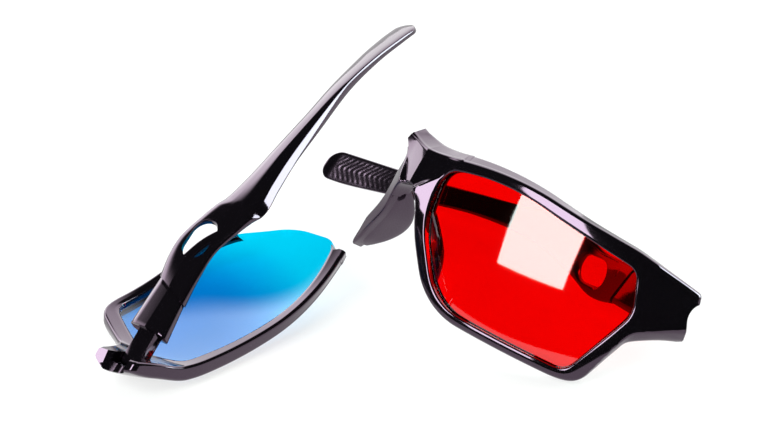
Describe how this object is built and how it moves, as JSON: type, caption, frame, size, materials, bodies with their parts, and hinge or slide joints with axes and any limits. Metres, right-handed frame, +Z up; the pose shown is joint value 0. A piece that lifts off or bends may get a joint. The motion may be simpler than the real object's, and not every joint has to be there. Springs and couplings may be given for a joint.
{
  "type": "two-colour viewing glasses",
  "caption": "Wrap-around viewing glasses with a red and a cyan lens, snapped apart beside the bridge and lying as separate halves with both temples folded.",
  "frame": {"origin": "bottom centre of the bounding box, on the table plane", "axes": "+Z up from the table, +X to the right of the picture, +Y away from its camera"},
  "size_m": [0.1532, 0.116, 0.0524],
  "materials": {
    "frame_black": "high gloss moulded plastic",
    "lens_red": "polished clear red plastic",
    "lens_cyan": "polished clear cyan plastic",
    "pin_brass": "plain drawn pin"
  },
  "bodies": {
    "left front half": {"left_front": "frame_black", "left_lens": "lens_red", "left_hinge_pin": "pin_brass"},
    "left temple": {"left_temple": "frame_black", "left_hinge_block": "frame_black"},
    "right front half": {"right_front": "frame_black", "right_lens": "lens_cyan", "right_hinge_pin": "pin_brass"},
    "right temple": {"right_temple": "frame_black", "right_hinge_block": "frame_black"}
  },
  "joints": [
    {"name": "left_temple_fold", "type": "hinge", "parent": "left front half", "child": "left temple", "pos_m": [0.06704, -0.0398, 0.01954], "axis": [0.3409, 0.3055, 0.8891], "range_deg": [-87, 12]},
    {"name": "right_half_apart", "type": "slide", "parent": "left front half", "child": "right front half", "axis": [-1, 0, 0], "range_m": [0, 0.04]},
    {"name": "right_temple_fold", "type": "hinge", "parent": "right front half", "child": "right temple", "pos_m": [-0.06624, -0.04857, 0.00665], "axis": [-0.7525, 0.6575, -0.0395], "range_deg": [-98.5, 4]}
  ]
}
